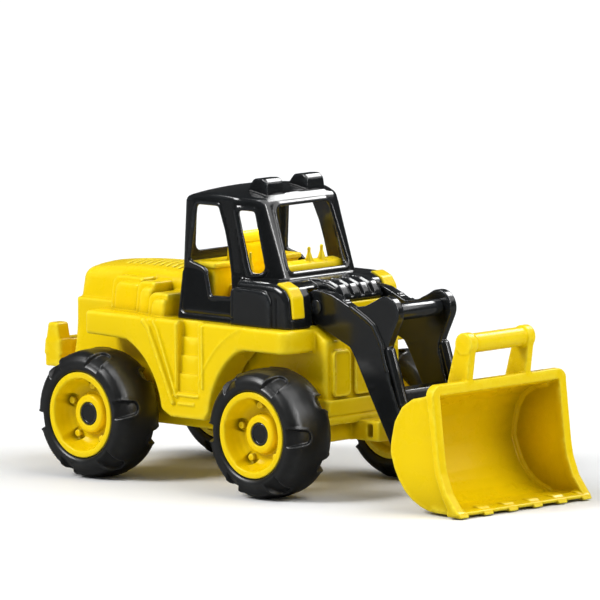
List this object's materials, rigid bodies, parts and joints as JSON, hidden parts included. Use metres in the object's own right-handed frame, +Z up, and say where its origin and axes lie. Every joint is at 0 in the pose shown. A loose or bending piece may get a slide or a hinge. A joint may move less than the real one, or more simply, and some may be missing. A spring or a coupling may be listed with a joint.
{
  "type": "toy front loader",
  "caption": "Toy wheel loader with freely turning wheels, an open cab, a lifting arm and a tilting bucket with a grip on top.",
  "frame": {"origin": "on the ground under the middle of the whole vehicle, bucket included", "axes": "+X forwards, towards the bucket; +Y to the vehicle's left; +Z up"},
  "size_m": [0.622, 0.259, 0.31],
  "materials": {
    "yellow_plastic": "smooth moulded plastic, satin to gloss",
    "black_plastic": "smooth moulded plastic, satin",
    "tyre_plastic": "blow-moulded plastic, soft satin",
    "steel": "plain drawn steel"
  },
  "bodies": {
    "chassis": {"body_shell": "yellow_plastic", "chassis_base": "yellow_plastic", "rear_hitch": "yellow_plastic", "cab_shell": "black_plastic", "cab_lining": "yellow_plastic", "headlight_left": "yellow_plastic", "headlight_right": "yellow_plastic", "axle_front": "steel", "axle_rear": "steel", "axle_cap_front_left": "black_plastic", "axle_spacer_front_left": "black_plastic", "axle_cap_front_right": "black_plastic", "axle_spacer_front_right": "black_plastic", "axle_cap_rear_left": "black_plastic", "axle_spacer_rear_left": "black_plastic", "axle_cap_rear_right": "black_plastic", "axle_spacer_rear_right": "black_plastic", "arm_pivot_rod": "steel", "chassis_screw_1": "steel", "chassis_screw_2": "steel", "chassis_screw_3": "steel", "chassis_screw_4": "steel", "chassis_screw_5": "steel", "chassis_screw_6": "steel"},
    "wheel_front_left": {"tyre_front_left": "tyre_plastic", "rim_outer_front_left": "yellow_plastic", "rim_inner_front_left": "yellow_plastic"},
    "wheel_front_right": {"tyre_front_right": "tyre_plastic", "rim_outer_front_right": "yellow_plastic", "rim_inner_front_right": "yellow_plastic"},
    "wheel_rear_left": {"tyre_rear_left": "tyre_plastic", "rim_outer_rear_left": "yellow_plastic", "rim_inner_rear_left": "yellow_plastic"},
    "wheel_rear_right": {"tyre_rear_right": "tyre_plastic", "rim_outer_rear_right": "yellow_plastic", "rim_inner_rear_right": "yellow_plastic"},
    "loader_arms": {"loader_arm_left": "black_plastic", "loader_arm_right": "black_plastic", "arm_cross_tube": "black_plastic", "arm_cross_beam": "black_plastic", "pivot_cap_left": "black_plastic", "pivot_cap_right": "black_plastic", "tube_screw": "steel", "beam_screw": "steel", "bucket_pin_left": "black_plastic", "bucket_pin_right": "black_plastic"},
    "bucket": {"bucket": "yellow_plastic"}
  },
  "joints": [
    {"name": "wheel_spin_front_left", "type": "hinge", "parent": "chassis", "child": "wheel_front_left", "pos_m": [0.055, 0.0995, 0.065], "axis": [0, 1, 0], "continuous": true},
    {"name": "wheel_spin_front_right", "type": "hinge", "parent": "chassis", "child": "wheel_front_right", "pos_m": [0.055, -0.0995, 0.065], "axis": [0, 1, 0], "continuous": true},
    {"name": "wheel_spin_rear_left", "type": "hinge", "parent": "chassis", "child": "wheel_rear_left", "pos_m": [-0.184, 0.0995, 0.065], "axis": [0, 1, 0], "continuous": true},
    {"name": "wheel_spin_rear_right", "type": "hinge", "parent": "chassis", "child": "wheel_rear_right", "pos_m": [-0.184, -0.0995, 0.065], "axis": [0, 1, 0], "continuous": true},
    {"name": "arm_lift", "type": "hinge", "parent": "chassis", "child": "loader_arms", "pos_m": [0.068, 0, 0.187], "axis": [0, -1, 0], "range_deg": [0, 60]},
    {"name": "bucket_tilt", "type": "hinge", "parent": "loader_arms", "child": "bucket", "pos_m": [0.185, 0, 0.052], "axis": [0, -1, 0], "range_deg": [-75, 30]}
  ]
}
